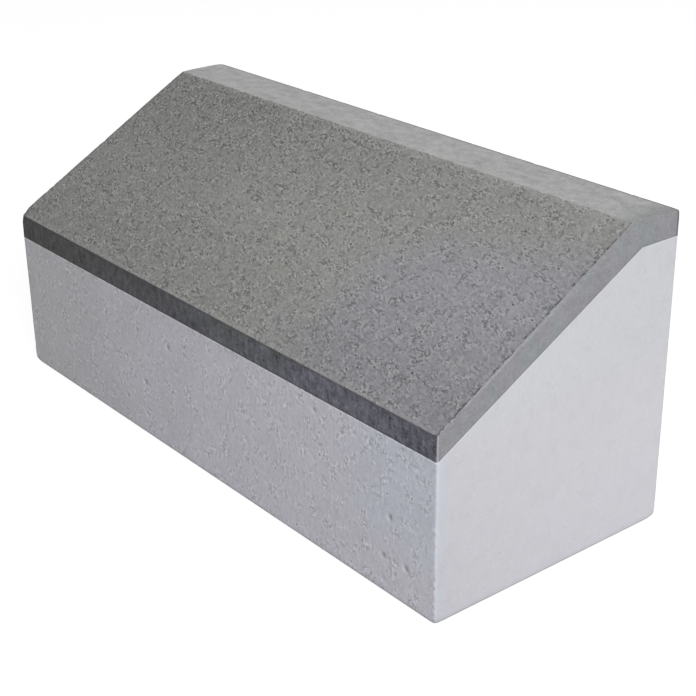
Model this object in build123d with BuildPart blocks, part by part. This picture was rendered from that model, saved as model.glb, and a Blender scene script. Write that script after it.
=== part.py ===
from build123d import *

import os
from math import atan2, cos

# A concrete road kerb with a sloping top, cast in one mould from two mixes. A facing of darker concrete
# covers the slope and the flat crest behind it, and light core concrete fills the rest of the block.
# X runs along the kerb, the road is on the -Y side, and Z is up from the middle of the bed.

# Overall sizes, in millimetres
length = 500
depth = 200
height = 220

# Section across the kerb
front_height = 130
crest_width = 40

# Facing, measured square to the slope at its foot and straight down from the crest. Its underside turns from
# slope to crest a little behind the crest's front edge, so the facing is thickest round that edge.
facing_at_foot = 16.5
facing_at_crest = 18
facing_fold_setback = 6
facing_fold_radius = 6

# Rounding that the mould leaves on the arrises
bed_arris_radius = 3
front_arris_radius = 2.5
crest_arris_radius = 4
back_arris_radius = 2.5
end_arris_radius = 1.5

# Planes and angles that follow from the sizes
front = -depth / 2
back = depth / 2
crest_front = back - crest_width
slope = atan2(height - front_height, crest_front - front)
fold = crest_front + facing_fold_setback
underside_at_foot = front_height - facing_at_foot / cos(slope)
underside_at_crest = height - facing_at_crest


def underside_of_slope(y):
    """Height of the facing's underside below the slope, at depth y."""
    return underside_at_foot + (y - front) * (underside_at_crest - underside_at_foot) / (fold - front)


# Whole block, with every arris rounded before the two mixes are divided, so that the rounding runs on
# across the line between them
with BuildPart() as kerb:
    with BuildSketch(Plane.YZ):
        with BuildLine():
            FilletPolyline(
                (front, 0),
                (front, front_height),
                (crest_front, height),
                (back, height),
                (back, 0),
                radius=(
                    bed_arris_radius,
                    front_arris_radius,
                    crest_arris_radius,
                    back_arris_radius,
                    bed_arris_radius,
                ),
                close=True,
            )
        make_face()
    extrude(amount=length / 2, both=True)
    ends = kerb.faces().filter_by(Axis.X)
    fillet(ends.edges(), end_arris_radius)

# Section of the core, cut short by the facing at the top. It runs past the block's front, back and bed, so that
# only its top divides the block.
with BuildSketch(Plane.YZ) as core_section:
    past_front = front - facing_at_foot
    past_back = back + facing_at_crest
    below_bed = -facing_at_foot
    with BuildLine():
        FilletPolyline(
            (past_front, below_bed),
            (past_front, underside_of_slope(past_front)),
            (fold, underside_at_crest),
            (past_back, underside_at_crest),
            (past_back, below_bed),
            radius=(0, 0, facing_fold_radius, 0, 0),
            close=True,
        )
    make_face()

# Core concrete
with BuildPart() as core_concrete:
    add(kerb.part)
    extrude(core_section.sketch, amount=length, both=True, mode=Mode.INTERSECT)

# Facing layer
with BuildPart() as facing_layer:
    add(kerb.part)
    extrude(core_section.sketch, amount=length, both=True, mode=Mode.SUBTRACT)

core_concrete.part.label = "core_concrete"
facing_layer.part.label = "facing_layer"

os.makedirs("parts", exist_ok=True)
export_step(core_concrete.part, "parts/core_concrete.step")
export_step(facing_layer.part, "parts/facing_layer.step")
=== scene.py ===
"""A concrete kerb stone: its light core, its dark facing, their finishes and a plain stage."""

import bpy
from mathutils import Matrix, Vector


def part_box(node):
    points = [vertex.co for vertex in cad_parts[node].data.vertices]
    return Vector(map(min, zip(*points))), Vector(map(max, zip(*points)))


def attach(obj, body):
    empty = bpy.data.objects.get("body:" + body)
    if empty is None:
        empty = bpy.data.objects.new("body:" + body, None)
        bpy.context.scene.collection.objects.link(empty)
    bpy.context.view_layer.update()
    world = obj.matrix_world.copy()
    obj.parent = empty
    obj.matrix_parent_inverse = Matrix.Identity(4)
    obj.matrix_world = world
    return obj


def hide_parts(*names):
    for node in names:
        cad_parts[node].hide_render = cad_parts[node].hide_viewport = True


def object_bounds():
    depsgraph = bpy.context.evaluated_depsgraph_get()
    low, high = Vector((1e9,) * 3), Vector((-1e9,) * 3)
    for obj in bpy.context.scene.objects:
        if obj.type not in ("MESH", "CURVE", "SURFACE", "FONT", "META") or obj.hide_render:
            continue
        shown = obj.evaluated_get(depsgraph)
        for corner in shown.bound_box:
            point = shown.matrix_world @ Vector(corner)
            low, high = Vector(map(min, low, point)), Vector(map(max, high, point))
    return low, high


bl_info = {
    "name": "Faced Kerb Stone",
    "version": (1, 0, 0),
    "blender": (4, 5, 0),
    "location": "View3D > Sidebar > Kerb",
    "description": "Models a concrete kerb stone with a sloping top, and the stage that it stands on",
    "category": "Object",
}

from math import atan2, ceil, cos, log, radians, sin, tan

import bmesh
import bpy
import numpy as np
from bpy.props import FloatProperty, FloatVectorProperty, PointerProperty
from mathutils import Matrix, Vector

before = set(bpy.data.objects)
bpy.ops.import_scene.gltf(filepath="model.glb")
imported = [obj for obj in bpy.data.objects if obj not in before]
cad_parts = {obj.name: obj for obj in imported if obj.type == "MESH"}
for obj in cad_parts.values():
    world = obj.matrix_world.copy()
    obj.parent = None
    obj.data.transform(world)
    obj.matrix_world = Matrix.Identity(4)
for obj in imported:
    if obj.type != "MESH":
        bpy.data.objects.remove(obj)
CAD_LOW, CAD_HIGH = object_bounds()
CORE_LOW, CORE_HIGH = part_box("core_concrete")
FACING_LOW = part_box("facing_layer")[0]

ALONG = Vector((1, 0, 0))
ACROSS = Vector((0, 1, 0))
UPRIGHT = Vector((0, 0, 1))

# Modelling: the distance that counts as touching, the cosine that counts as parallel, how finely one cut
# divides an edge, the steps of a rounded arris, and the angle past which an edge looks sharp
TOUCHING = 1e-5
PARALLEL = 0.999
MOST_PARTS_A_CUT = 50
ARRIS_SEGMENTS = 3
SHARP_ANGLE = radians(50)

# Depths in metres: of wear that gets the full painted shade of a hollow, of the core's blow holes and of
# the shader's relief
FULL_HOLLOW_SHADE = 0.0012
CORE_BLOW_HOLE = 0.0010
RELIEF_DEPTH = 0.0003

# Shares: of the relief where the two mixes meet, and of the front left corner's wear at the other corners
MEETING_RELIEF = 0.3
OTHER_CORNERS = 0.15

# Gloss of dry concrete, and how its patterns lie: streaks are drawn up, and the slope's sand is turned
GLOSS = 0.25
UNTURNED = (0, 0, 0)
DRAWN_UP = (1, 1, 4.0)
SAND_DRAG = radians(-22)

# Stage: the camera's sensor in millimetres, and the floor's grey and its glow where it is seen directly
SENSOR_WIDTH = 36
FLOOR_GREY = 0.32
FLOOR_GLOW = 0.80


class KerbSizes(bpy.types.PropertyGroup):
    """Sizes of the block that its outer box doesn't give."""

    front_height: FloatProperty(
        name="Front height",
        description="Height of the upright front, up to the foot of the slope",
        default=0.130,
        unit="LENGTH",
    )
    crest_width: FloatProperty(
        name="Crest width",
        description="Width of the flat strip along the back of the top",
        default=0.040,
        unit="LENGTH",
    )
    fold_setback: FloatProperty(
        name="Fold setback",
        description="How far behind the crest's front edge the underside of the facing turns level",
        default=0.006,
        unit="LENGTH",
    )
    facing_fall: FloatProperty(
        name="Facing fall",
        description="How much lower the underside of the facing lies at the left end than at the right",
        default=0.002,
        unit="LENGTH",
    )
    arris_reach: FloatProperty(
        name="Arris reach",
        description="How far the rounding of an arris reaches into the faces beside it",
        default=0.0015,
        unit="LENGTH",
    )
    bed_arris_reach: FloatProperty(
        name="Bed arris reach",
        description="The same, for the arrises round the bed",
        default=0.003,
        unit="LENGTH",
    )
    corner_wear: FloatProperty(
        name="Corner wear",
        description="How far from a corner its wear begins",
        default=0.008,
        unit="LENGTH",
    )
    margin_at_foot: FloatProperty(
        name="Margin at the foot",
        description="Width of the smooth margin of the slope along the right end, at the foot of the slope",
        default=0.0006,
        unit="LENGTH",
    )
    margin_at_crest: FloatProperty(
        name="Margin at the crest",
        description="The same, at the top of the slope",
        default=0.0040,
        unit="LENGTH",
    )
    facing_mesh: FloatProperty(
        name="Facing mesh",
        description="Size of the facing's mesh cells",
        default=0.00127,
        unit="LENGTH",
    )
    core_mesh: FloatProperty(
        name="Core mesh",
        description="Size of the core's mesh cells",
        default=0.00155,
        unit="LENGTH",
    )


def colour(name, description, default):
    """A colour that the panel shows, as the share of light that the surface gives back."""
    return FloatVectorProperty(
        name=name, description=description, default=default, subtype="COLOR", min=0, max=1
    )


class KerbColours(bpy.types.PropertyGroup):
    """Colours of the two mixes and of what the mould and the weather leave on them."""

    core: colour("Core", "Core concrete as cast", (0.484, 0.480, 0.506))
    # Painted light: lighter and bluer towards the right end, where the key hangs
    core_mauve: colour("Core, mauve", "Core concrete towards the right end", (0.535, 0.519, 0.575))
    # Painted cool light from the key, high up beside the right end
    core_painted_cool_light: colour("Core, cool", "Core concrete high up beside the right end", (0.500, 0.522, 0.582))
    core_end: colour("Core end", "Ends of the core, smoother and more even", (0.524, 0.516, 0.550))
    core_end_cool: colour("Core end, cool", "The same, high up", (0.512, 0.520, 0.542))
    core_pit: colour("Core pit", "Inside of the small pits in the core", (0.19, 0.19, 0.20))
    # Also the painted highlight on the rims of the core's pits
    core_fleck: colour("Core fleck", "Pale flecks of cement on the core", (0.78, 0.78, 0.80))
    slope: colour("Slope", "Cement between the sand grains on the slope", (0.240, 0.240, 0.235))
    slope_olive: colour("Slope, olive", "The same, over most of the length", (0.2395, 0.241, 0.229))
    # Painted cool light from the key, towards the right end
    slope_painted_cool_light: colour("Slope, cool", "The same, towards the right end", (0.240, 0.236, 0.254))
    # Also the painted shade in the slope's sunk hollows and along the broken line at its margin
    slope_hollow: colour("Slope hollow", "Hollows between the sand grains", (0.060, 0.060, 0.062))
    # Also the painted highlight on the rims of the slope's pits
    slope_grain: colour("Slope grain", "Pale sand grains on the slope", (0.46, 0.46, 0.45))
    crest: colour("Crest", "Smooth cement skin on the crest", (0.412, 0.412, 0.410))
    mould_face: colour("Mould face", "Front of the facing, dark from the mould", (0.073, 0.073, 0.0735))
    # Painted light: lighter and cooler towards the right end, where the key hangs
    mould_face_painted_light: colour("Mould face, cool", "The same, towards the right end", (0.135, 0.135, 0.168))
    mould_face_green: colour("Mould face, green", "Greener patches of the same", (0.124, 0.134, 0.148))
    # Also the painted shade along the top's back and left arrises
    mould_edge_film_and_shade: colour("Mould edge", "Brown film along the edges of the mould face", (0.062, 0.058, 0.056))
    end_face: colour("End face", "Ends of the facing", (0.238, 0.235, 0.250))
    end_face_cool: colour("End face, cool", "Patches of a greener grey on the ends", (0.230, 0.242, 0.248))


class KerbStage(bpy.types.PropertyGroup):
    """Camera, light and floor."""

    camera_place: FloatVectorProperty(
        name="Camera place",
        description="Where the camera stands",
        default=(0.80313, -0.60641, 0.52562),
        subtype="TRANSLATION",
    )
    camera_azimuth: FloatProperty(
        name="Camera azimuth",
        description="Turn of the camera round the block, from square on to the front",
        default=radians(51.371),
        subtype="ANGLE",
    )
    camera_elevation: FloatProperty(
        name="Camera elevation",
        description="How far the camera looks down",
        default=radians(24.459),
        subtype="ANGLE",
    )
    camera_roll: FloatProperty(
        name="Camera roll",
        description="Clockwise lean of the camera",
        default=radians(0.654),
        subtype="ANGLE",
    )
    camera_lens: FloatProperty(name="Lens", description="Focal length in millimetres", default=77.19)
    ambient: FloatProperty(
        name="Ambient", description="Light from all round, as a share of white", default=0.52
    )
    key_place: FloatVectorProperty(
        name="Key place",
        description="Where the soft key light hangs",
        default=(1.83, -0.82, 1.11),
        subtype="TRANSLATION",
    )
    key_power: FloatProperty(name="Key power", description="Power of the key light in watts", default=41.0)
    key_size: FloatProperty(
        name="Key size", description="Side of the square key light", default=1.0, unit="LENGTH"
    )
    floor_size: FloatProperty(
        name="Floor size", description="Side of the square floor", default=14.0, unit="LENGTH"
    )


class Kerb(bpy.types.PropertyGroup):
    """Everything that a user would change."""

    sizes: PointerProperty(type=KerbSizes)
    colours: PointerProperty(type=KerbColours)
    stage: PointerProperty(type=KerbStage)


class Section:
    """The kerb's section across its length, and the line between its two mixes."""

    def __init__(self, sizes):
        self.end = CAD_HIGH.x
        self.length = CAD_HIGH.x - CAD_LOW.x
        self.front = CAD_LOW.y
        self.back = CAD_HIGH.y
        self.height = CAD_HIGH.z
        self.front_height = sizes.front_height
        self.crest_front = self.back - sizes.crest_width
        self.run = self.crest_front - self.front
        self.rise = self.height - self.front_height
        self.slope = atan2(self.rise, self.run)
        self.slope_way = Vector((0, cos(self.slope), sin(self.slope)))
        self.slope_length = self.run / cos(self.slope)
        self.fold = self.crest_front + sizes.fold_setback
        self.foot_underside = FACING_LOW.z
        self.crest_underside = CORE_HIGH.z
        self.facing_at_crest = self.height - self.crest_underside
        self.climb = (self.crest_underside - self.foot_underside) / (self.fold - self.front)
        self.lean = sizes.facing_fall / self.length

    def below_slope(self, y, z):
        """How deep a point is under the slope, square to it."""
        return (self.front_height + (y - self.front) * tan(self.slope) - z) * cos(self.slope)

    def underside(self, x, y):
        """Height of the line between the mixes, which climbs under the slope and is level behind it."""
        under_slope = self.foot_underside + (y - self.front) * self.climb
        return np.minimum(under_slope, self.crest_underside) + x * self.lean


# Modelling in edit mode


def start_block(name, low, high):
    """Adds a cube, drawn out to fill a box, with its place in its mesh."""
    bpy.ops.object.select_all(action="DESELECT")
    bpy.ops.mesh.primitive_cube_add(size=1, location=(low + high) / 2)
    bpy.ops.transform.resize(value=high - low)
    bpy.ops.object.transform_apply(location=True, rotation=True, scale=True)
    block = bpy.context.object
    block.name = name
    block.data.name = name
    return block


def choose(kind, test):
    """Selects only the edges or faces that pass the test."""
    bpy.ops.mesh.select_mode(type="EDGE" if kind == "edges" else "FACE")
    bpy.ops.mesh.select_all(action="DESELECT")
    mesh = bmesh.from_edit_mesh(bpy.context.object.data)
    for element in getattr(mesh, kind):
        if test(element):
            element.select_set(True)
    mesh.select_flush_mode()
    bmesh.update_edit_mesh(bpy.context.object.data, loop_triangles=False, destructive=False)


def middle(edge):
    """The place halfway along an edge."""
    return (edge.verts[0].co + edge.verts[1].co) / 2


def runs_along(edge, way):
    """Whether an edge is parallel to a direction."""
    span = edge.verts[1].co - edge.verts[0].co
    return abs(span.dot(way)) > PARALLEL * span.length


def divide(test, shortest, parts):
    """Cuts the edges that pass the test and are long enough into about as many parts as asked."""
    rounds = max(1, ceil(log(parts) / log(MOST_PARTS_A_CUT)))
    parts_a_round = max(2, round(parts ** (1 / rounds)))
    for _ in range(rounds):
        choose("edges", lambda edge: edge.calc_length() > shortest and test(edge))
        bpy.ops.mesh.subdivide(number_cuts=parts_a_round - 1)
        shortest /= parts_a_round


def mark_arrises(test, reach, widest):
    """Marks edges to be rounded, by how far their rounding reaches."""
    choose("edges", test)
    bpy.ops.transform.edge_bevelweight(value=reach / widest)


def round_arrises(block, widest):
    """Rounds the marked edges."""
    bevel = block.modifiers.new("rounded arrises", "BEVEL")
    bevel.width = widest
    bevel.segments = ARRIS_SEGMENTS
    bevel.limit_method = "WEIGHT"
    bpy.ops.object.modifier_apply(modifier=bevel.name)


# Surface relief


def points_of(block):
    """The places of a mesh's points, one row each."""
    places = np.empty(len(block.data.vertices) * 3)
    block.data.vertices.foreach_get("co", places)
    return places.reshape(-1, 3)


def keep(block, name, values):
    """Keeps a number for each point, for the material to read."""
    attribute = block.data.attributes.new(name, "FLOAT", "POINT")
    attribute.data.foreach_set("value", np.asarray(values, np.float32))


def group(block, name, weights):
    """Makes a vertex group with a weight for each point."""
    made = block.vertex_groups.new(name=name)
    for weight in np.unique(np.round(weights, 2)):
        if weight > 0:
            members = np.flatnonzero(np.round(weights, 2) == weight)
            made.add(members.tolist(), float(weight), "REPLACE")


def sink(block, name, where, depth, ramp=None, kind="CLOUDS", **settings):
    """Sinks the points of a group by a pattern, at most so deep, and never lifts them."""
    pattern = bpy.data.textures.new(name, kind)
    for setting, value in settings.items():
        setattr(pattern, setting, value)
    if ramp:
        pattern.use_color_ramp = True
        for stop, position, level in zip(pattern.color_ramp.elements, ramp, (0, 1)):
            stop.position = position
            stop.color = (level, level, level, 1)
    displace = block.modifiers.new(name, "DISPLACE")
    displace.texture = pattern
    displace.texture_coords = "LOCAL"
    displace.strength = depth
    displace.mid_level = 1
    displace.vertex_group = where
    bpy.ops.object.modifier_apply(modifier=name)


def sunk(block, before):
    """How far each point lies from where it was before."""
    return np.linalg.norm(points_of(block) - before, axis=1)


def near_arris(distances, reach):
    """How close each point is to an arris, from its distance to each outer face."""
    second = np.partition(np.abs(distances), 1, axis=0)[1]
    return np.clip(1 - second / reach, 0, 1)


def near_corner(distances, reach):
    """How close each point is to a corner where three outer faces meet."""
    third = np.partition(np.abs(distances), 2, axis=0)[2]
    return np.clip(1 - third / reach, 0, 1) ** 2


# Shader maths


class Wire:
    """An output in a material's nodes, so that shader maths is written as plain expressions."""

    def __init__(self, tree, socket):
        self.tree = tree
        self.socket = socket

    def node(self, kind, settings=None, inputs=None, output=0):
        """Adds any node: its settings first, then a value or a link for each of its inputs."""
        made = self.tree.nodes.new(kind)
        for name, value in (settings or {}).items():
            setattr(made, name, value)
        for name, value in (inputs or {}).items():
            if isinstance(value, Wire):
                self.tree.links.new(value.socket, made.inputs[name])
            else:
                made.inputs[name].default_value = value
        return Wire(self.tree, made.outputs[output])

    def maths(self, operation, first, second):
        """Adds a Math node."""
        return self.node("ShaderNodeMath", {"operation": operation}, {0: first, 1: second})

    def __add__(self, other):
        return self.maths("ADD", self, other)

    def __radd__(self, other):
        return self.maths("ADD", other, self)

    def __sub__(self, other):
        return self.maths("SUBTRACT", self, other)

    def __rsub__(self, other):
        return self.maths("SUBTRACT", other, self)

    def __mul__(self, other):
        return self.maths("MULTIPLY", self, other)

    def __rmul__(self, other):
        return self.maths("MULTIPLY", other, self)

    def step(self, low, high):
        """Goes smoothly from 0 at low to 1 at high."""
        inputs = {"Value": self, "From Min": low, "From Max": high}
        return self.node("ShaderNodeMapRange", {"interpolation_type": "SMOOTHSTEP"}, inputs)

    def below(self, low, high):
        """Goes smoothly from 1 at low to 0 at high."""
        return 1 - self.step(low, high)

    def rim(self, low, high):
        """1 halfway between two levels, and 0 below the lower one and above the upper one."""
        halfway = (low + high) / 2
        return self.step(low, halfway) - self.step(halfway, high)

    def attribute(self, name):
        """A number that the mesh keeps for each of its points."""
        return self.node("ShaderNodeAttribute", {"attribute_name": name}, None, "Fac")

    def axis(self, name):
        """Distance along the X, Y or Z axis."""
        return self.node("ShaderNodeSeparateXYZ", None, {0: self}, name)

    def shifted(self, offset):
        """The same place moved by a fixed step, so that a pattern drawn there is another one."""
        return self.node("ShaderNodeVectorMath", {"operation": "ADD"}, {0: self, 1: offset})

    def laid(self, turn, stretch):
        """The same place in a frame that is turned, with patterns drawn out along the frame's axes."""
        inputs = {"Vector": self, "Rotation": turn, "Scale": stretch}
        return self.node("ShaderNodeMapping", {"vector_type": "TEXTURE"}, inputs)

    def clouds(self, scale, detail=2.0):
        """Soft noise about 0.5, with so many lumps to a metre."""
        return self.node("ShaderNodeTexNoise", None, {"Vector": self, "Scale": scale, "Detail": detail})

    def swing(self, amount):
        """Noise about 0.5 turned into noise about 0 that is so strong."""
        return (self - 0.5) * amount

    def spots(self, scale, rarity, growth):
        """Depth into spots, below 0 outside: of so many cells to a metre, those that beat the rarity."""
        cells = self.node("ShaderNodeTexVoronoi", None, {"Vector": self, "Scale": scale})
        chance = Wire(self.tree, cells.socket.node.outputs["Color"])
        chance = chance.node("ShaderNodeSeparateColor", None, {"Color": chance})
        return (chance - rarity) * growth - cells

    def blend(self, first, second):
        """Goes from one colour to another as this value goes from 0 to 1."""
        inputs = {0: self, 6: paint(first), 7: paint(second)}
        return self.node("ShaderNodeMix", {"data_type": "RGBA"}, inputs, 2)

    def stain(self, base, over, strength):
        """Lays a colour over another where this mask shows, and at most so strongly."""
        return (self * strength).blend(base, over)

    def shade(self, tint):
        """Multiplies a colour by this value."""
        settings = {"data_type": "RGBA", "blend_type": "MULTIPLY"}
        return self.node("ShaderNodeMix", settings, {0: 1.0, 6: paint(tint), 7: self}, 2)


def paint(value):
    """A wire as it is, or a plain colour with the fourth number that a colour socket takes."""
    return value if isinstance(value, Wire) else (*value, 1.0)


class Finish:
    """A dull material, whose colour, roughness and relief are put together from wires."""

    def __init__(self, name, colours):
        self.colours = colours
        self.material = bpy.data.materials.new(name)
        self.material.use_nodes = True
        self.shader = self.material.node_tree.nodes["Principled BSDF"]
        self.shader.inputs["Specular IOR Level"].default_value = GLOSS
        start = Wire(self.material.node_tree, None)
        self.place = start.node("ShaderNodeTexCoord", None, None, "Object")

    def join(self):
        """Feeds the shader, and gives the finished material."""
        inputs = {"Height": self.relief(), "Distance": RELIEF_DEPTH, "Strength": 1.0}
        bump = self.place.node("ShaderNodeBump", None, inputs)
        wires = {"Base Color": self.base(), "Roughness": self.roughness(), "Normal": bump}
        for name, wire in wires.items():
            self.material.node_tree.links.new(wire.socket, self.shader.inputs[name])
        return self.material


class CoreFinish(Finish):
    """Light concrete from a steel mould: smooth ends, and long sides with clusters of pits and streaks."""

    def __init__(self, colours):
        super().__init__("core concrete", colours)
        place = self.place
        self.x, self.y, self.z = (place.axis(name) for name in "XYZ")
        self.on_end = place.attribute("on_end").step(0.2, 0.8)
        self.on_side = 1 - 0.85 * self.on_end
        self.broad = place.clouds(6)
        self.patches = place.clouds(34, 3)
        self.mottle = place.clouds(190)
        self.streaks = place.laid(UNTURNED, DRAWN_UP).clouds(420, 1)
        upright = place.laid(UNTURNED, (1, 1, 1.3))
        self.grain = upright.shifted((0.31, 0.17, 0.23)).clouds(640, 1)
        spots = upright.shifted((0.07, 0.53, 0.29)).spots(225, 0.76, 1.0)
        self.pits = spots.step(0, 0.10) * self.on_side
        self.pit_rim_highlights = spots.rim(-0.16, 0.02) * self.on_side
        clusters = place.shifted((0.13, 0.29, 0.37)).clouds(90)
        busy = (0.12 + 0.80 * clusters.step(0.44, 0.66)) * self.on_side
        marks = upright.clouds(400, 1)
        self.dark_marks = marks.rim(0.32, 0.46) * busy
        self.pale_marks = marks.rim(0.52, 0.66) * busy

    def sides(self):
        """Mauve towards the right end, and cooler high up beside it: the lighter, bluer tone there is
        painted light from the key on the right.
        """
        patchy = self.patches.swing(0.10)
        # Lighter and bluer towards the right, and cooler still high up there: painted light from the key
        mauve = (self.x + self.broad.swing(0.3) + self.patches.swing(0.2)).step(-0.28, 0.10)
        cool = (self.x + patchy).step(0.14, 0.21) * (self.z + patchy).step(0.02, 0.07)
        base = mauve.blend(self.colours.core, self.colours.core_mauve)
        return cool.blend(base, self.colours.core_painted_cool_light)

    def ends(self):
        """More even than the sides, cooler high up, and with painted cool light beside the front."""
        base = self.z.step(0.04, 0.18).blend(self.colours.core_end, self.colours.core_end_cool)
        # Cool beside the front of the ends: painted cool light from the key
        near_front = self.place.attribute("to_front").below(0.0, 0.014)
        return near_front.stain(base, self.colours.core_painted_cool_light, 0.8)

    def tone(self):
        """How bright the skin is: uneven on the sides, smudged on the ends, pale along the facing, with
        painted highlight on the arrises and painted shade in the hollows.
        """
        surface = self.patches.swing(0.14) + self.mottle.swing(0.18)
        surface = surface + self.grain.swing(0.20) + self.streaks.swing(0.16)
        tone = 1.0 + self.broad.swing(0.05) + surface * self.on_side
        # Paler along the arrises: painted highlight; darker where the relief sank: painted shade in the
        # hollows
        tone = tone + self.place.attribute("arris") * 0.03 - self.place.attribute("hollow") * 0.08
        lip = self.place.attribute("to_facing").below(0.0006, 0.0018)
        lip = lip * (0.4 + 0.6 * self.mottle.step(0.38, 0.56))
        low_at_back = self.y * self.z.below(0.05, 0.20) * self.on_end
        tone = tone + lip * (0.35 - 0.27 * self.on_end) + low_at_back * 0.8
        smudges = self.place.shifted((0.41, 0.05, 0.61)).clouds(110, 3)
        return tone + (smudges.swing(0.07) - smudges.rim(0.28, 0.42) * 0.02) * self.on_end

    def base(self):
        """The sides and ends together, with their marks, pits with a painted highlight on their rims, and
        blow holes.
        """
        colours = self.colours
        base = self.tone().shade(self.on_end.blend(self.sides(), self.ends()))
        base = self.pale_marks.stain(base, colours.core_fleck, 0.70)
        base = self.dark_marks.stain(base, colours.core_pit, 0.60)
        # Pale rims round the pits: painted highlight
        base = self.pit_rim_highlights.stain(base, colours.core_fleck, 0.45)
        base = self.pits.stain(base, colours.core_pit, 0.65)
        blow_holes = self.place.attribute("blow_hole").step(0.2, 0.8)
        return blow_holes.stain(base, colours.core_pit, 0.5)

    def roughness(self):
        """Dull, and a little less so in patches."""
        return 0.82 + self.patches.swing(0.16)

    def relief(self):
        """A fine skin on the sides, with raised pale marks, sunk dark ones and pits."""
        skin = (self.mottle + self.streaks) * 0.2 * self.on_side
        return skin + (self.pale_marks - self.dark_marks) * 0.3 - self.pits


class FacingFinish(Finish):
    """Dark facing: a speckled slope, a smooth pale crest, a dark mould face at the front and grey ends."""

    def __init__(self, colours, section):
        super().__init__("facing concrete", colours)
        place = self.place
        self.x = place.axis("X")
        self.to_right = section.end - self.x
        self.to_left = section.end + self.x
        self.from_crest = place.attribute("from_crest")
        self.arris = place.attribute("arris")
        self.on_end = place.attribute("on_end").step(0.35, 0.65)
        self.on_top = (place.attribute("on_slope") + place.attribute("on_crest")).step(0.30, 0.55)
        self.over_core = place.attribute("to_core").below(0.0004, 0.0024)
        self.margin = place.attribute("margin") + place.clouds(330).swing(0.0036)
        self.rough_side = self.margin.below(-0.0002, 0.0004)
        self.below_crest = (self.from_crest + place.clouds(150, 3).swing(0.0050)).step(-0.0006, 0.0010)
        self.broad = place.clouds(6)
        self.patches = place.clouds(30, 3)
        self.mottle = place.clouds(170)
        self.along = self.x + self.broad.swing(0.25)
        self.sow(section)

    def sow(self, section):
        """Sand dragged along the slope: grit, grains, the hollows between them and pits."""
        drag = Matrix.Rotation(section.slope, 3, "X") @ Matrix.Rotation(SAND_DRAG, 3, "Z")
        dragged = self.place.laid(drag.to_euler(), (1.7, 1, 1))
        self.grit = dragged.shifted((0.43, 0.19, 0.27)).clouds(760, 1)
        spots = dragged.spots(250, 0.80, 1.1)
        self.pits = spots.step(0, 0.10)
        self.pit_rim_highlights = spots.rim(-0.18, 0.02)
        clusters = self.place.shifted((0.13, 0.29, 0.37)).clouds(130)
        upper_left = self.from_crest.below(0.02, 0.07) * self.to_left.step(0.02, 0.05)
        upper_left = upper_left * self.to_right.step(0.15, 0.35)
        busy = 0.35 + 0.85 * clusters.step(0.40, 0.64) + upper_left * 0.15
        self.busy = busy * (1.04 - self.x * 0.6)
        sand = dragged.clouds(590, 1)
        self.dark_sand = sand.rim(0.30, 0.46) * self.busy
        self.pale_sand = sand.rim(0.52, 0.68) * self.busy

    def end(self):
        """Grey with greener patches, with painted shade round its edge, and a pale rim along the slope."""
        tone = 1.0 + self.patches.swing(0.16) + self.mottle.swing(0.34) + self.grit.swing(0.50)
        pale_rim = self.margin.rim(-0.0004, 0.0026) * self.on_top
        # Darker along the arrises: painted shade, which cancels the highlight that the rounded arrises
        # catch from the key
        tone = tone - self.arris * 0.18 + pale_rim * 0.22 - self.over_core * 0.07
        tints = self.place.clouds(48).step(0.44, 0.56)
        return tone.shade(tints.blend(self.colours.end_face, self.colours.end_face_cool))

    def slope_tone(self):
        """How bright the slope is: most at half its height and to the right, where the rise is painted
        light from the key, least at its foot and ends.
        """
        foot = self.from_crest.step(0.08, 0.185) * self.along.step(-0.16, 0.06)
        foot = foot * (1 - 0.8 * self.x.rim(-0.01, 0.14))
        # The rise towards the right is painted light from the key on the right
        tone = 0.98 + self.x * 0.22 + self.broad.swing(0.10) + self.patches.swing(0.10)
        tone = tone + self.from_crest.rim(0.01, 0.19) * 0.07 - foot * 0.14
        tone = tone - self.x.below(-0.16, -0.01) * 0.075 - self.to_right.below(0.0, 0.03) * 0.07
        return tone + self.mottle.swing(0.16) + self.grit.swing(1.2) * self.busy

    def slope(self, end):
        """Cement with sand, as far as the broken line of painted shade along its margin, which is finished
        like the end.
        """
        colours = self.colours
        wander = self.patches.swing(0.12)
        rightwards = self.x + wander
        # Cooler towards the right end and down from the crest: painted cool light from the key
        cool = (self.from_crest + (rightwards - 0.15) * 0.3).step(0.030, 0.085)
        cool = rightwards.step(0.06, 0.14) * cool
        olive = (self.to_left + wander).step(0.0, 0.05) * (0.6 + 0.4 * self.patches.step(0.40, 0.60))
        base = olive.blend(colours.slope, colours.slope_olive)
        base = self.slope_tone().shade(cool.blend(base, colours.slope_painted_cool_light))
        base = self.pale_sand.stain(base, colours.slope_grain, 0.45)
        base = self.dark_sand.stain(base, colours.slope_hollow, 0.62)
        # Pale rims round the pits: painted highlight
        base = self.pit_rim_highlights.stain(base, colours.slope_grain, 0.35)
        base = self.pits.stain(base, colours.slope_hollow, 0.80)
        # Darker where the relief sank: painted shade in the hollows
        hollow = self.place.attribute("hollow").step(0.5, 1.0)
        base = hollow.stain(base, colours.slope_hollow, 0.5)
        # A broken dark line just inside the margin: painted shadow in the crevice along the end's arris
        broken_shade_line = self.margin.step(-0.0018, -0.0008) * self.rough_side
        broken_shade_line = broken_shade_line * self.place.clouds(240).step(0.42, 0.56)
        base = broken_shade_line.stain(base, colours.slope_hollow, 0.80)
        return self.rough_side.blend(end, base)

    def crest(self, end):
        """Pale cement skin with smears, which goes over into the finish of the end."""
        tone = 1.0 - self.x * 0.28 + self.patches.swing(0.20) + self.mottle.swing(0.50)
        tone = tone + self.grit.swing(0.45)
        smears = self.place.laid(UNTURNED, (2.0, 1, 1)).shifted((0.21, 0.33, 0.47)).clouds(110, 3)
        tone = tone + smears.rim(0.50, 0.66) * 0.07 - smears.rim(0.30, 0.44) * 0.10 - 0.01
        return self.to_right.below(-0.006, 0.026).blend(tone.shade(self.colours.crest), end)

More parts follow.
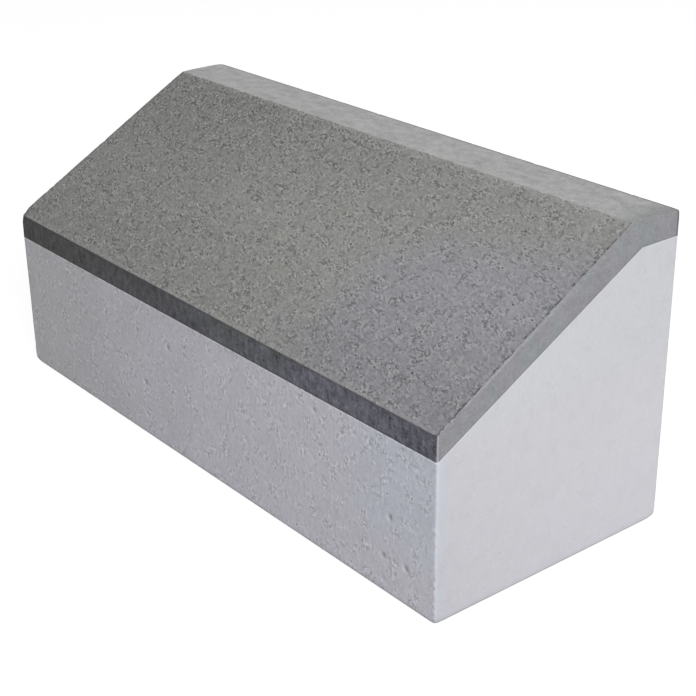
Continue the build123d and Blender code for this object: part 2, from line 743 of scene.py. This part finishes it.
    def front(self):
        """Dark mould face, lighter and cooler towards the right as painted light from the key, with a brown
        film along its edges.
        """
        colours = self.colours
        rightwards = self.x.step(-0.15, 0.15)
        streaks = self.place.laid(UNTURNED, DRAWN_UP).clouds(330, 1)
        tone = 1.0 + self.patches.swing(0.6) + self.mottle.swing(1.5) + rightwards * 0.03
        tone = tone + (streaks.swing(0.8) + self.grit.swing(0.9)) * (1 + 0.5 * rightwards)
        tone = tone - self.x.step(0.15, 0.23) * 0.18
        green = (self.x + self.patches.swing(0.3)).rim(-0.06, 0.13)
        # Lighter and cooler towards the right: painted light from the key
        base = green.blend(colours.mould_face_painted_light, colours.mould_face_green)
        base = tone.shade(self.along.step(-0.24, 0.24).blend(colours.mould_face, base))
        base = self.dark_sand.stain(base, colours.slope_hollow, 0.40)
        under_arris = self.place.attribute("under_slope").below(0.0012, 0.0036)
        base = under_arris.stain(base, colours.mould_edge_film_and_shade, 0.50)
        return self.over_core.stain(base, colours.mould_edge_film_and_shade, 0.50)

    def base(self):
        """All faces together, with a painted highlight on the top's arrises and up the front arrises at the
        ends, and painted shade along the top's back and left arrises.
        """
        colours = self.colours
        to_end = self.place.attribute("to_end")
        end = self.end()
        base = self.on_end.blend(self.front(), end)
        # A pale line up the front arrises at the ends: painted highlight
        corner = to_end.below(0.0004, 0.0016) * self.place.attribute("to_front").below(0.0004, 0.0016)
        base = corner.stain(base, colours.core, 0.45)
        base = self.on_top.blend(base, self.below_crest.blend(self.crest(end), self.slope(end)))
        # Paler along the top's arrises, away from the ends: painted highlight
        worn = self.arris * to_end.step(0.001, 0.004) * self.on_top
        base = worn.stain(base, colours.crest, 0.25)
        # Dark lines along the top's back and left arrises: painted shade
        painted_shade_at_back = self.place.attribute("to_back").below(0.0010, 0.0034)
        painted_shade_at_back = painted_shade_at_back * self.on_top.maths("MAXIMUM", self.on_top, self.on_end)
        painted_shade_at_left = self.to_left.below(0.0010, 0.0034) * self.on_top
        base = painted_shade_at_back.stain(base, colours.mould_edge_film_and_shade, 0.8)
        return painted_shade_at_left.stain(base, colours.mould_edge_film_and_shade, 0.8)

    def roughness(self):
        """Duller than the core, and gritty."""
        return 0.88 + self.grit.swing(0.2)

    def relief(self):
        """Sand and pits, nearly smooth away from the slope."""
        sandy = (self.pale_sand - self.dark_sand) * 0.4 + self.grit * 0.4 - self.pits
        return sandy * (0.12 + self.on_top * self.below_crest * self.rough_side * 0.88)


# Pieces


def hand_over(block, material, node):
    """Gives a finished piece its material, its smooth shading and its place in the frame."""
    block.data.materials.clear()
    block.data.materials.append(material)
    bpy.ops.object.shade_smooth_by_angle(angle=SHARP_ANGLE)
    block.vertex_groups.clear()
    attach(block, "root")
    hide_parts(node)


class KERB_OT_core(bpy.types.Operator):
    """Model the light core, from the bed up to the facing"""

    bl_idname = "kerb.core"
    bl_label = "Core concrete"

    def execute(self, context):
        kerb = context.scene.kerb
        sizes = kerb.sizes
        section = Section(sizes)
        block = start_block("core", CORE_LOW, CORE_HIGH + Vector((0, 0, sizes.facing_fall)))
        self.shape(section, sizes)
        round_arrises(block, sizes.bed_arris_reach)
        self.mesh(section, sizes)
        self.weather(block, section, sizes)
        hand_over(block, CoreFinish(kerb.colours).join(), "core_concrete")
        return {"FINISHED"}

    def shape(self, section, sizes):
        """Cuts the block to the facing's underside, divides it under the fold and marks its arrises."""
        fold = (0, section.fold, section.crest_underside)
        bpy.ops.object.mode_set(mode="EDIT")
        for climb in (section.climb, 0):
            bpy.ops.mesh.select_all(action="SELECT")
            upwards = (-section.lean, -climb, 1)
            bpy.ops.mesh.bisect(plane_co=fold, plane_no=upwards, use_fill=True, clear_outer=True)
        bpy.ops.mesh.select_all(action="SELECT")
        bpy.ops.mesh.bisect(plane_co=fold, plane_no=(0, 1, 0))
        outer = (section.front, section.back)

        def on_corner(edge):
            return runs_along(edge, UPRIGHT) and any(abs(middle(edge).y - y) < TOUCHING for y in outer)

        def on_bed_arris(edge):
            at = middle(edge)
            at_end = abs(abs(at.x) - section.end) < TOUCHING
            return at.z < TOUCHING and (at_end or any(abs(at.y - y) < TOUCHING for y in outer))

        mark_arrises(on_corner, sizes.arris_reach, sizes.bed_arris_reach)
        mark_arrises(on_bed_arris, sizes.bed_arris_reach, sizes.bed_arris_reach)
        bpy.ops.object.mode_set(mode="OBJECT")

    def mesh(self, section, sizes):
        """Divides the faces that show into small cells."""
        bpy.ops.object.mode_set(mode="EDIT")
        cell = sizes.core_mesh
        end_zone = section.end - sizes.bed_arris_reach * 1.01
        divide(lambda edge: runs_along(edge, ALONG), shortest=0.1, parts=section.length / cell)
        divide(lambda edge: runs_along(edge, UPRIGHT), shortest=0.05, parts=section.height * 0.6 / cell)

        def end_row(edge):
            span = edge.verts[1].co - edge.verts[0].co
            return abs(middle(edge).x) > end_zone and abs(span.y) > 0.8 * span.length

        divide(
            lambda edge: end_row(edge) and middle(edge).y < section.fold,
            shortest=0.1,
            parts=section.run / cell,
        )
        divide(
            lambda edge: end_row(edge) and middle(edge).y > section.fold,
            shortest=0.02,
            parts=sizes.crest_width / cell,
        )
        bpy.ops.object.mode_set(mode="OBJECT")

    def weather(self, block, section, sizes):
        """Adds the relief of a cast face, and keeps what the material reads."""
        x, y, z = points_of(block).T
        distances = np.array([section.end - np.abs(x), y - section.front, section.back - y, z])
        arris = near_arris(distances, sizes.arris_reach * 2)
        on_end = np.clip(1 - distances[0] / sizes.arris_reach, 0, 1)
        shown = (np.min(distances[:3], axis=0) < sizes.arris_reach) & (z > TOUCHING)
        to_facing = section.underside(x, y) - z
        under_facing = to_facing < TOUCHING
        group(block, "shown", shown * np.where(under_facing, MEETING_RELIEF, 1.0) * (1 - 0.7 * on_end))
        group(block, "arrises", arris * shown)
        away_from_arris = np.partition(distances, 1, axis=0)[1] > sizes.corner_wear
        away_from_facing = to_facing > sizes.corner_wear
        group(block, "long sides", away_from_arris * away_from_facing * (on_end < 0.5) * 1.0)
        group(block, "corners", near_corner(distances, sizes.corner_wear) * (z > TOUCHING))
        before = points_of(block)
        sink(
            block, "worn corners", where="corners", depth=0.0010, ramp=(0.35, 0.85),
            noise_scale=0.012, noise_depth=1,
        )
        sink(
            block, "nicked arrises", where="arrises", depth=0.0005, ramp=(0.18, 0.32),
            noise_scale=0.009, noise_depth=2,
        )
        sink(block, "uneven mould", where="shown", depth=0.0003, noise_scale=0.045, noise_depth=1)
        sink(block, "cement skin", where="shown", depth=0.00012, noise_scale=0.004, noise_depth=2)
        # How deep each point sank, which the material turns into painted shade
        keep(block, "hollow", np.clip(sunk(block, before) / FULL_HOLLOW_SHADE - 0.3, 0, 1))
        before = points_of(block)
        sink(
            block, "blow holes", where="long sides", depth=CORE_BLOW_HOLE, ramp=(0.04, 0.11),
            kind="VORONOI", noise_scale=0.026, distance_metric="DISTANCE",
        )
        keep(block, "blow_hole", np.clip(sunk(block, before) / CORE_BLOW_HOLE, 0, 1))
        keep(block, "on_end", on_end)
        keep(block, "arris", arris * (z > sizes.bed_arris_reach))
        keep(block, "to_facing", to_facing)
        keep(block, "to_front", distances[1])


class KERB_OT_facing(bpy.types.Operator):
    """Model the dark facing, folded over the slope and the crest"""

    bl_idname = "kerb.facing"
    bl_label = "Facing layer"

    def execute(self, context):
        kerb = context.scene.kerb
        sizes = kerb.sizes
        section = Section(sizes)
        low = Vector((CAD_LOW.x, section.crest_front, section.crest_underside))
        block = start_block("facing", low, CAD_HIGH)
        self.shape(section, sizes)
        round_arrises(block, sizes.arris_reach)
        self.mesh(section, sizes)
        self.weather(block, section, sizes)
        hand_over(block, FacingFinish(kerb.colours, section).join(), "facing_layer")
        return {"FINISHED"}

    def shape(self, section, sizes):
        """Draws the crest's strip out down the slope, mitred at the fold and upright at the front."""
        bpy.ops.object.mode_set(mode="EDIT")
        choose("edges", lambda edge: runs_along(edge, ALONG)
               and abs(middle(edge).y - section.crest_front) < TOUCHING
               and abs(middle(edge).z - section.crest_underside) < TOUCHING)
        bpy.ops.transform.translate(value=(0, sizes.fold_setback, 0))
        choose("faces", lambda face: face.normal.y < -0.5)
        bpy.ops.mesh.extrude_region_move(
            TRANSFORM_OT_translate={"value": (0, -section.run, -section.rise)}
        )
        lower = section.crest_underside - section.rise
        choose("edges", lambda edge: runs_along(edge, ALONG) and abs(middle(edge).z - lower) < TOUCHING)
        bpy.ops.transform.translate(value=(0, -sizes.fold_setback, section.foot_underside - lower))

        def on_underside(vertex):
            return vertex.co.z < section.underside(0, vertex.co.y) + TOUCHING

        for end in (CAD_LOW.x, CAD_HIGH.x):
            choose("edges", lambda edge: abs(middle(edge).x - end) < TOUCHING
                   and all(on_underside(vertex) for vertex in edge.verts))
            bpy.ops.transform.translate(value=(0, 0, end * section.lean))

        def on_arris(edge):
            ends = [vertex.co for vertex in edge.verts]
            depths = [min(section.below_slope(p.y, p.z), section.height - p.z) for p in ends]
            at_side = abs(abs(middle(edge).x) - section.end) < TOUCHING
            at_face = any(abs(middle(edge).y - y) < TOUCHING for y in (section.front, section.back))
            on_top = max(depths) < TOUCHING
            return on_top or (at_side and at_face)

        mark_arrises(on_arris, sizes.arris_reach, sizes.arris_reach)
        bpy.ops.object.mode_set(mode="OBJECT")

    def mesh(self, section, sizes):
        """Divides the faces that show into small cells, and leaves the underside in strips."""
        bpy.ops.object.mode_set(mode="EDIT")
        cell = sizes.facing_mesh

        def shows(edge):
            at = middle(edge)
            above = at.z - section.underside(at.x, at.y)
            return above > sizes.arris_reach or abs(at.x) > section.end - TOUCHING

        divide(lambda edge: runs_along(edge, ALONG), shortest=0.1, parts=section.length / cell)
        divide(
            lambda edge: runs_along(edge, section.slope_way) and shows(edge),
            shortest=0.1,
            parts=section.slope_length / cell,
        )
        divide(
            lambda edge: runs_along(edge, ACROSS) and shows(edge),
            shortest=0.02,
            parts=sizes.crest_width / cell,
        )
        divide(
            lambda edge: edge.calc_length() < section.facing_at_crest * 1.5,
            shortest=section.facing_at_crest * 0.6,
            parts=section.facing_at_crest / cell,
        )
        bpy.ops.object.mode_set(mode="OBJECT")

    def weather(self, block, section, sizes):
        """Adds the slope's sandy relief and the nicked arrises, and keeps what the material reads."""
        x, y, z = points_of(block).T
        reach = sizes.arris_reach
        under_slope = section.below_slope(y, z)
        under_crest = section.height - z
        to_end = section.end - np.abs(x)
        up_slope = np.clip((y - section.front) / section.run, 0, 1)
        margin = sizes.margin_at_foot + (sizes.margin_at_crest - sizes.margin_at_foot) * up_slope
        margin = margin - (section.end - x)
        sides = [to_end, y - section.front, section.back - y]
        distances = np.array([*sides, under_slope, under_crest])
        arris = near_arris(distances, reach * 1.6)
        on_crest = np.clip(1 - under_crest / reach, 0, 1)
        on_slope = np.clip(1 - under_slope / reach, 0, 1) * (1 - on_crest)
        on_end = np.clip(1 - to_end / reach, 0, 1)
        underside = z < section.underside(x, y) + TOUCHING
        on_face = np.clip(1 - np.min(sides, axis=0) / reach, 0, 1)
        group(block, "slope", on_slope * (1 - 0.5 * arris) * (margin < 0))
        group(block, "smooth", np.maximum(on_crest, on_face * np.where(underside, MEETING_RELIEF, 1.0)))
        group(block, "arrises", arris)
        front_left = (x < 0) & (y < 0)
        corners = near_corner(distances, sizes.corner_wear)
        group(block, "corners", corners * np.where(front_left, 1.0, OTHER_CORNERS))
        before = points_of(block)
        sink(
            block, "worn corners", where="corners", depth=0.0036, ramp=(0.35, 0.85),
            noise_scale=0.012, noise_depth=1,
        )
        sink(
            block, "nicked arrises", where="arrises", depth=0.0005, ramp=(0.18, 0.34),
            noise_scale=0.008, noise_depth=2,
        )
        sink(
            block, "sand", where="slope", depth=0.0002,
            noise_scale=0.0026, noise_depth=1, contrast=1.5,
        )
        sink(block, "uneven slope", where="slope", depth=0.0003, noise_scale=0.03, noise_depth=1)
        sink(block, "cement skin", where="smooth", depth=0.00015, noise_scale=0.006, noise_depth=2)
        sink(
            block, "blow holes", where="slope", depth=0.0008, ramp=(0.05, 0.14),
            kind="VORONOI", noise_scale=0.018, distance_metric="DISTANCE",
        )
        # How deep each point sank, which the material turns into painted shade
        keep(block, "hollow", np.clip(sunk(block, before) / FULL_HOLLOW_SHADE, 0, 1))
        keep(block, "on_slope", on_slope)
        keep(block, "on_crest", on_crest)
        keep(block, "on_end", on_end)
        keep(block, "margin", margin)
        keep(block, "from_crest", (section.crest_front - y) / cos(section.slope))
        keep(block, "to_front", y - section.front)
        keep(block, "to_back", section.back - y)
        keep(block, "to_end", to_end)
        keep(block, "under_slope", under_slope)
        keep(block, "to_core", z - section.underside(x, y))
        keep(block, "arris", arris)


# Stage


def seen_directly(wire):
    """1 where a ray comes from the camera, a reflection or clear glass, and 0 for plain lighting."""
    light_path = wire.node("ShaderNodeLightPath", None, None, "Is Camera Ray")
    outputs = light_path.socket.node.outputs
    others = [Wire(wire.tree, outputs[name]) for name in ("Is Glossy Ray", "Is Transmission Ray")]
    return (light_path + others[0] + others[1]).step(0, 1)


class KERB_OT_stage(bpy.types.Operator):
    """Set the floor, the world, the key light and the camera"""

    bl_idname = "kerb.stage"
    bl_label = "Stage"

    def execute(self, context):
        stage = context.scene.kerb.stage
        self.floor(stage)
        self.world(context.scene, stage)
        self.key(stage)
        self.camera(context.scene, stage)
        context.scene.view_settings.view_transform = "Standard"
        return {"FINISHED"}

    def floor(self, stage):
        """A pale floor that shows as white where no shadow falls."""
        bpy.ops.object.select_all(action="DESELECT")
        bpy.ops.mesh.primitive_plane_add(size=stage.floor_size, location=(0, 0, 0))
        floor = bpy.context.object
        floor.name = "floor"
        material = bpy.data.materials.new("pale floor")
        material.use_nodes = True
        tree = material.node_tree
        tree.nodes.clear()
        start = Wire(tree, None)
        grey = start.node("ShaderNodeBsdfDiffuse", None, {"Color": paint([FLOOR_GREY] * 3)})
        glow = start.node("ShaderNodeEmission", None, {"Strength": seen_directly(start) * FLOOR_GLOW})
        both = start.node("ShaderNodeAddShader", None, {0: grey, 1: glow})
        output = tree.nodes.new("ShaderNodeOutputMaterial")
        tree.links.new(both.socket, output.inputs["Surface"])
        floor.data.materials.append(material)

    def world(self, scene, stage):
        """Even light from all round, behind a white background."""
        world = bpy.data.worlds.new("white room")
        world.use_nodes = True
        scene.world = world
        background = world.node_tree.nodes["Background"]
        background.inputs["Color"].default_value = (1, 1, 1, 1)
        strength = stage.ambient + seen_directly(Wire(world.node_tree, None)) * (1 - stage.ambient)
        world.node_tree.links.new(strength.socket, background.inputs["Strength"])

    def key(self, stage):
        """A large soft light over the right end."""
        lamp = bpy.data.lights.new("key", "AREA")
        lamp.energy = stage.key_power
        lamp.size = stage.key_size
        key = bpy.data.objects.new("key", lamp)
        key.location = stage.key_place
        to_block = Vector((0, 0, CAD_HIGH.z / 2)) - Vector(stage.key_place)
        key.rotation_euler = to_block.to_track_quat("-Z", "Y").to_euler()
        bpy.context.collection.objects.link(key)

    def camera(self, scene, stage):
        """A camera that stands where the stage says, with its own turn, dip and roll."""
        lens = bpy.data.cameras.new("camera")
        lens.lens = stage.camera_lens
        lens.sensor_width = SENSOR_WIDTH
        camera = bpy.data.objects.new("camera", lens)
        turn = Matrix.Rotation(stage.camera_azimuth, 4, "Z")
        dip = Matrix.Rotation(radians(90) - stage.camera_elevation, 4, "X")
        roll = Matrix.Rotation(-stage.camera_roll, 4, "Z")
        camera.matrix_world = Matrix.Translation(stage.camera_place) @ turn @ dip @ roll
        bpy.context.collection.objects.link(camera)
        scene.camera = camera


class KERB_PT_panel(bpy.types.Panel):
    """The kerb's pieces and stage, with their sizes and colours"""

    bl_label = "Kerb stone"
    bl_idname = "KERB_PT_panel"
    bl_space_type = "VIEW_3D"
    bl_region_type = "UI"
    bl_category = "Kerb"

    def draw(self, context):
        layout = self.layout
        for operator in OPERATORS:
            layout.operator(operator.bl_idname)
        kerb = context.scene.kerb
        for properties in (kerb.sizes, kerb.colours, kerb.stage):
            box = layout.box()
            for name in properties.__annotations__:
                box.prop(properties, name)


OPERATORS = (KERB_OT_core, KERB_OT_facing, KERB_OT_stage)
CLASSES = (KerbSizes, KerbColours, KerbStage, Kerb, *OPERATORS, KERB_PT_panel)


def register():
    """Makes the kerb's properties, operators and panel known to Blender."""
    for made in CLASSES:
        bpy.utils.register_class(made)
    bpy.types.Scene.kerb = PointerProperty(type=Kerb)


def unregister():
    """Takes them away again."""
    del bpy.types.Scene.kerb
    for made in reversed(CLASSES):
        bpy.utils.unregister_class(made)


def main():
    """Builds the kerb and its stage."""
    register()
    bpy.ops.kerb.core()
    bpy.ops.kerb.facing()
    bpy.ops.kerb.stage()


if __name__ == "__main__":
    main()
